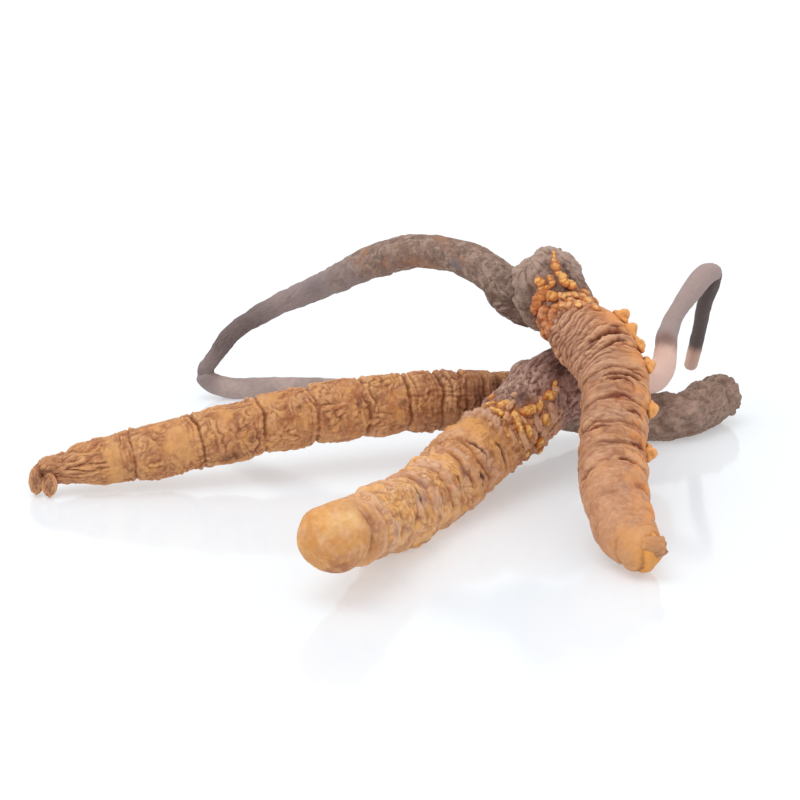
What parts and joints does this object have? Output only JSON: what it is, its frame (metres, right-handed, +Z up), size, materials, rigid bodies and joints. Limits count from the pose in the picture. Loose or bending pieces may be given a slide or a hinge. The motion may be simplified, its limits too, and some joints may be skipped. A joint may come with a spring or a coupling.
{
  "type": "cordyceps bundle",
  "caption": "Dried cordyceps fungi lying crossed in a loose pile: ringed larva bodies, crusted heads, and thin stalks arched and folded from them.",
  "frame": {"origin": "on the surface that the bundle rests on, under the middle of its box", "axes": "+Z up from the surface; +X along the pile's longest side, from the back specimen's tail towards its head"},
  "size_m": [0.0712, 0.0622, 0.0221],
  "materials": {
    "larva_skin_left": "dried ringed larva skin, orange brown, wrinkled and matt",
    "larva_skin_middle": "dried ringed larva skin, yellow brown with grey patches",
    "larva_skin_right": "dried ringed larva skin, pinkish tan with orange legs",
    "crust_left": "rough grey brown fungal crust",
    "crust_middle": "fuzzy purple grey crust and pink grey stalk, darker past the fold",
    "crust_right": "rough grey brown crust and fine grained stalk"
  },
  "bodies": {
    "root": {"larva_left": "larva_skin_left", "stroma_left": "crust_left", "larva_middle": "larva_skin_middle", "stroma_middle": "crust_middle", "larva_right": "larva_skin_right", "stroma_right": "crust_right"}
  },
  "joints": []
}
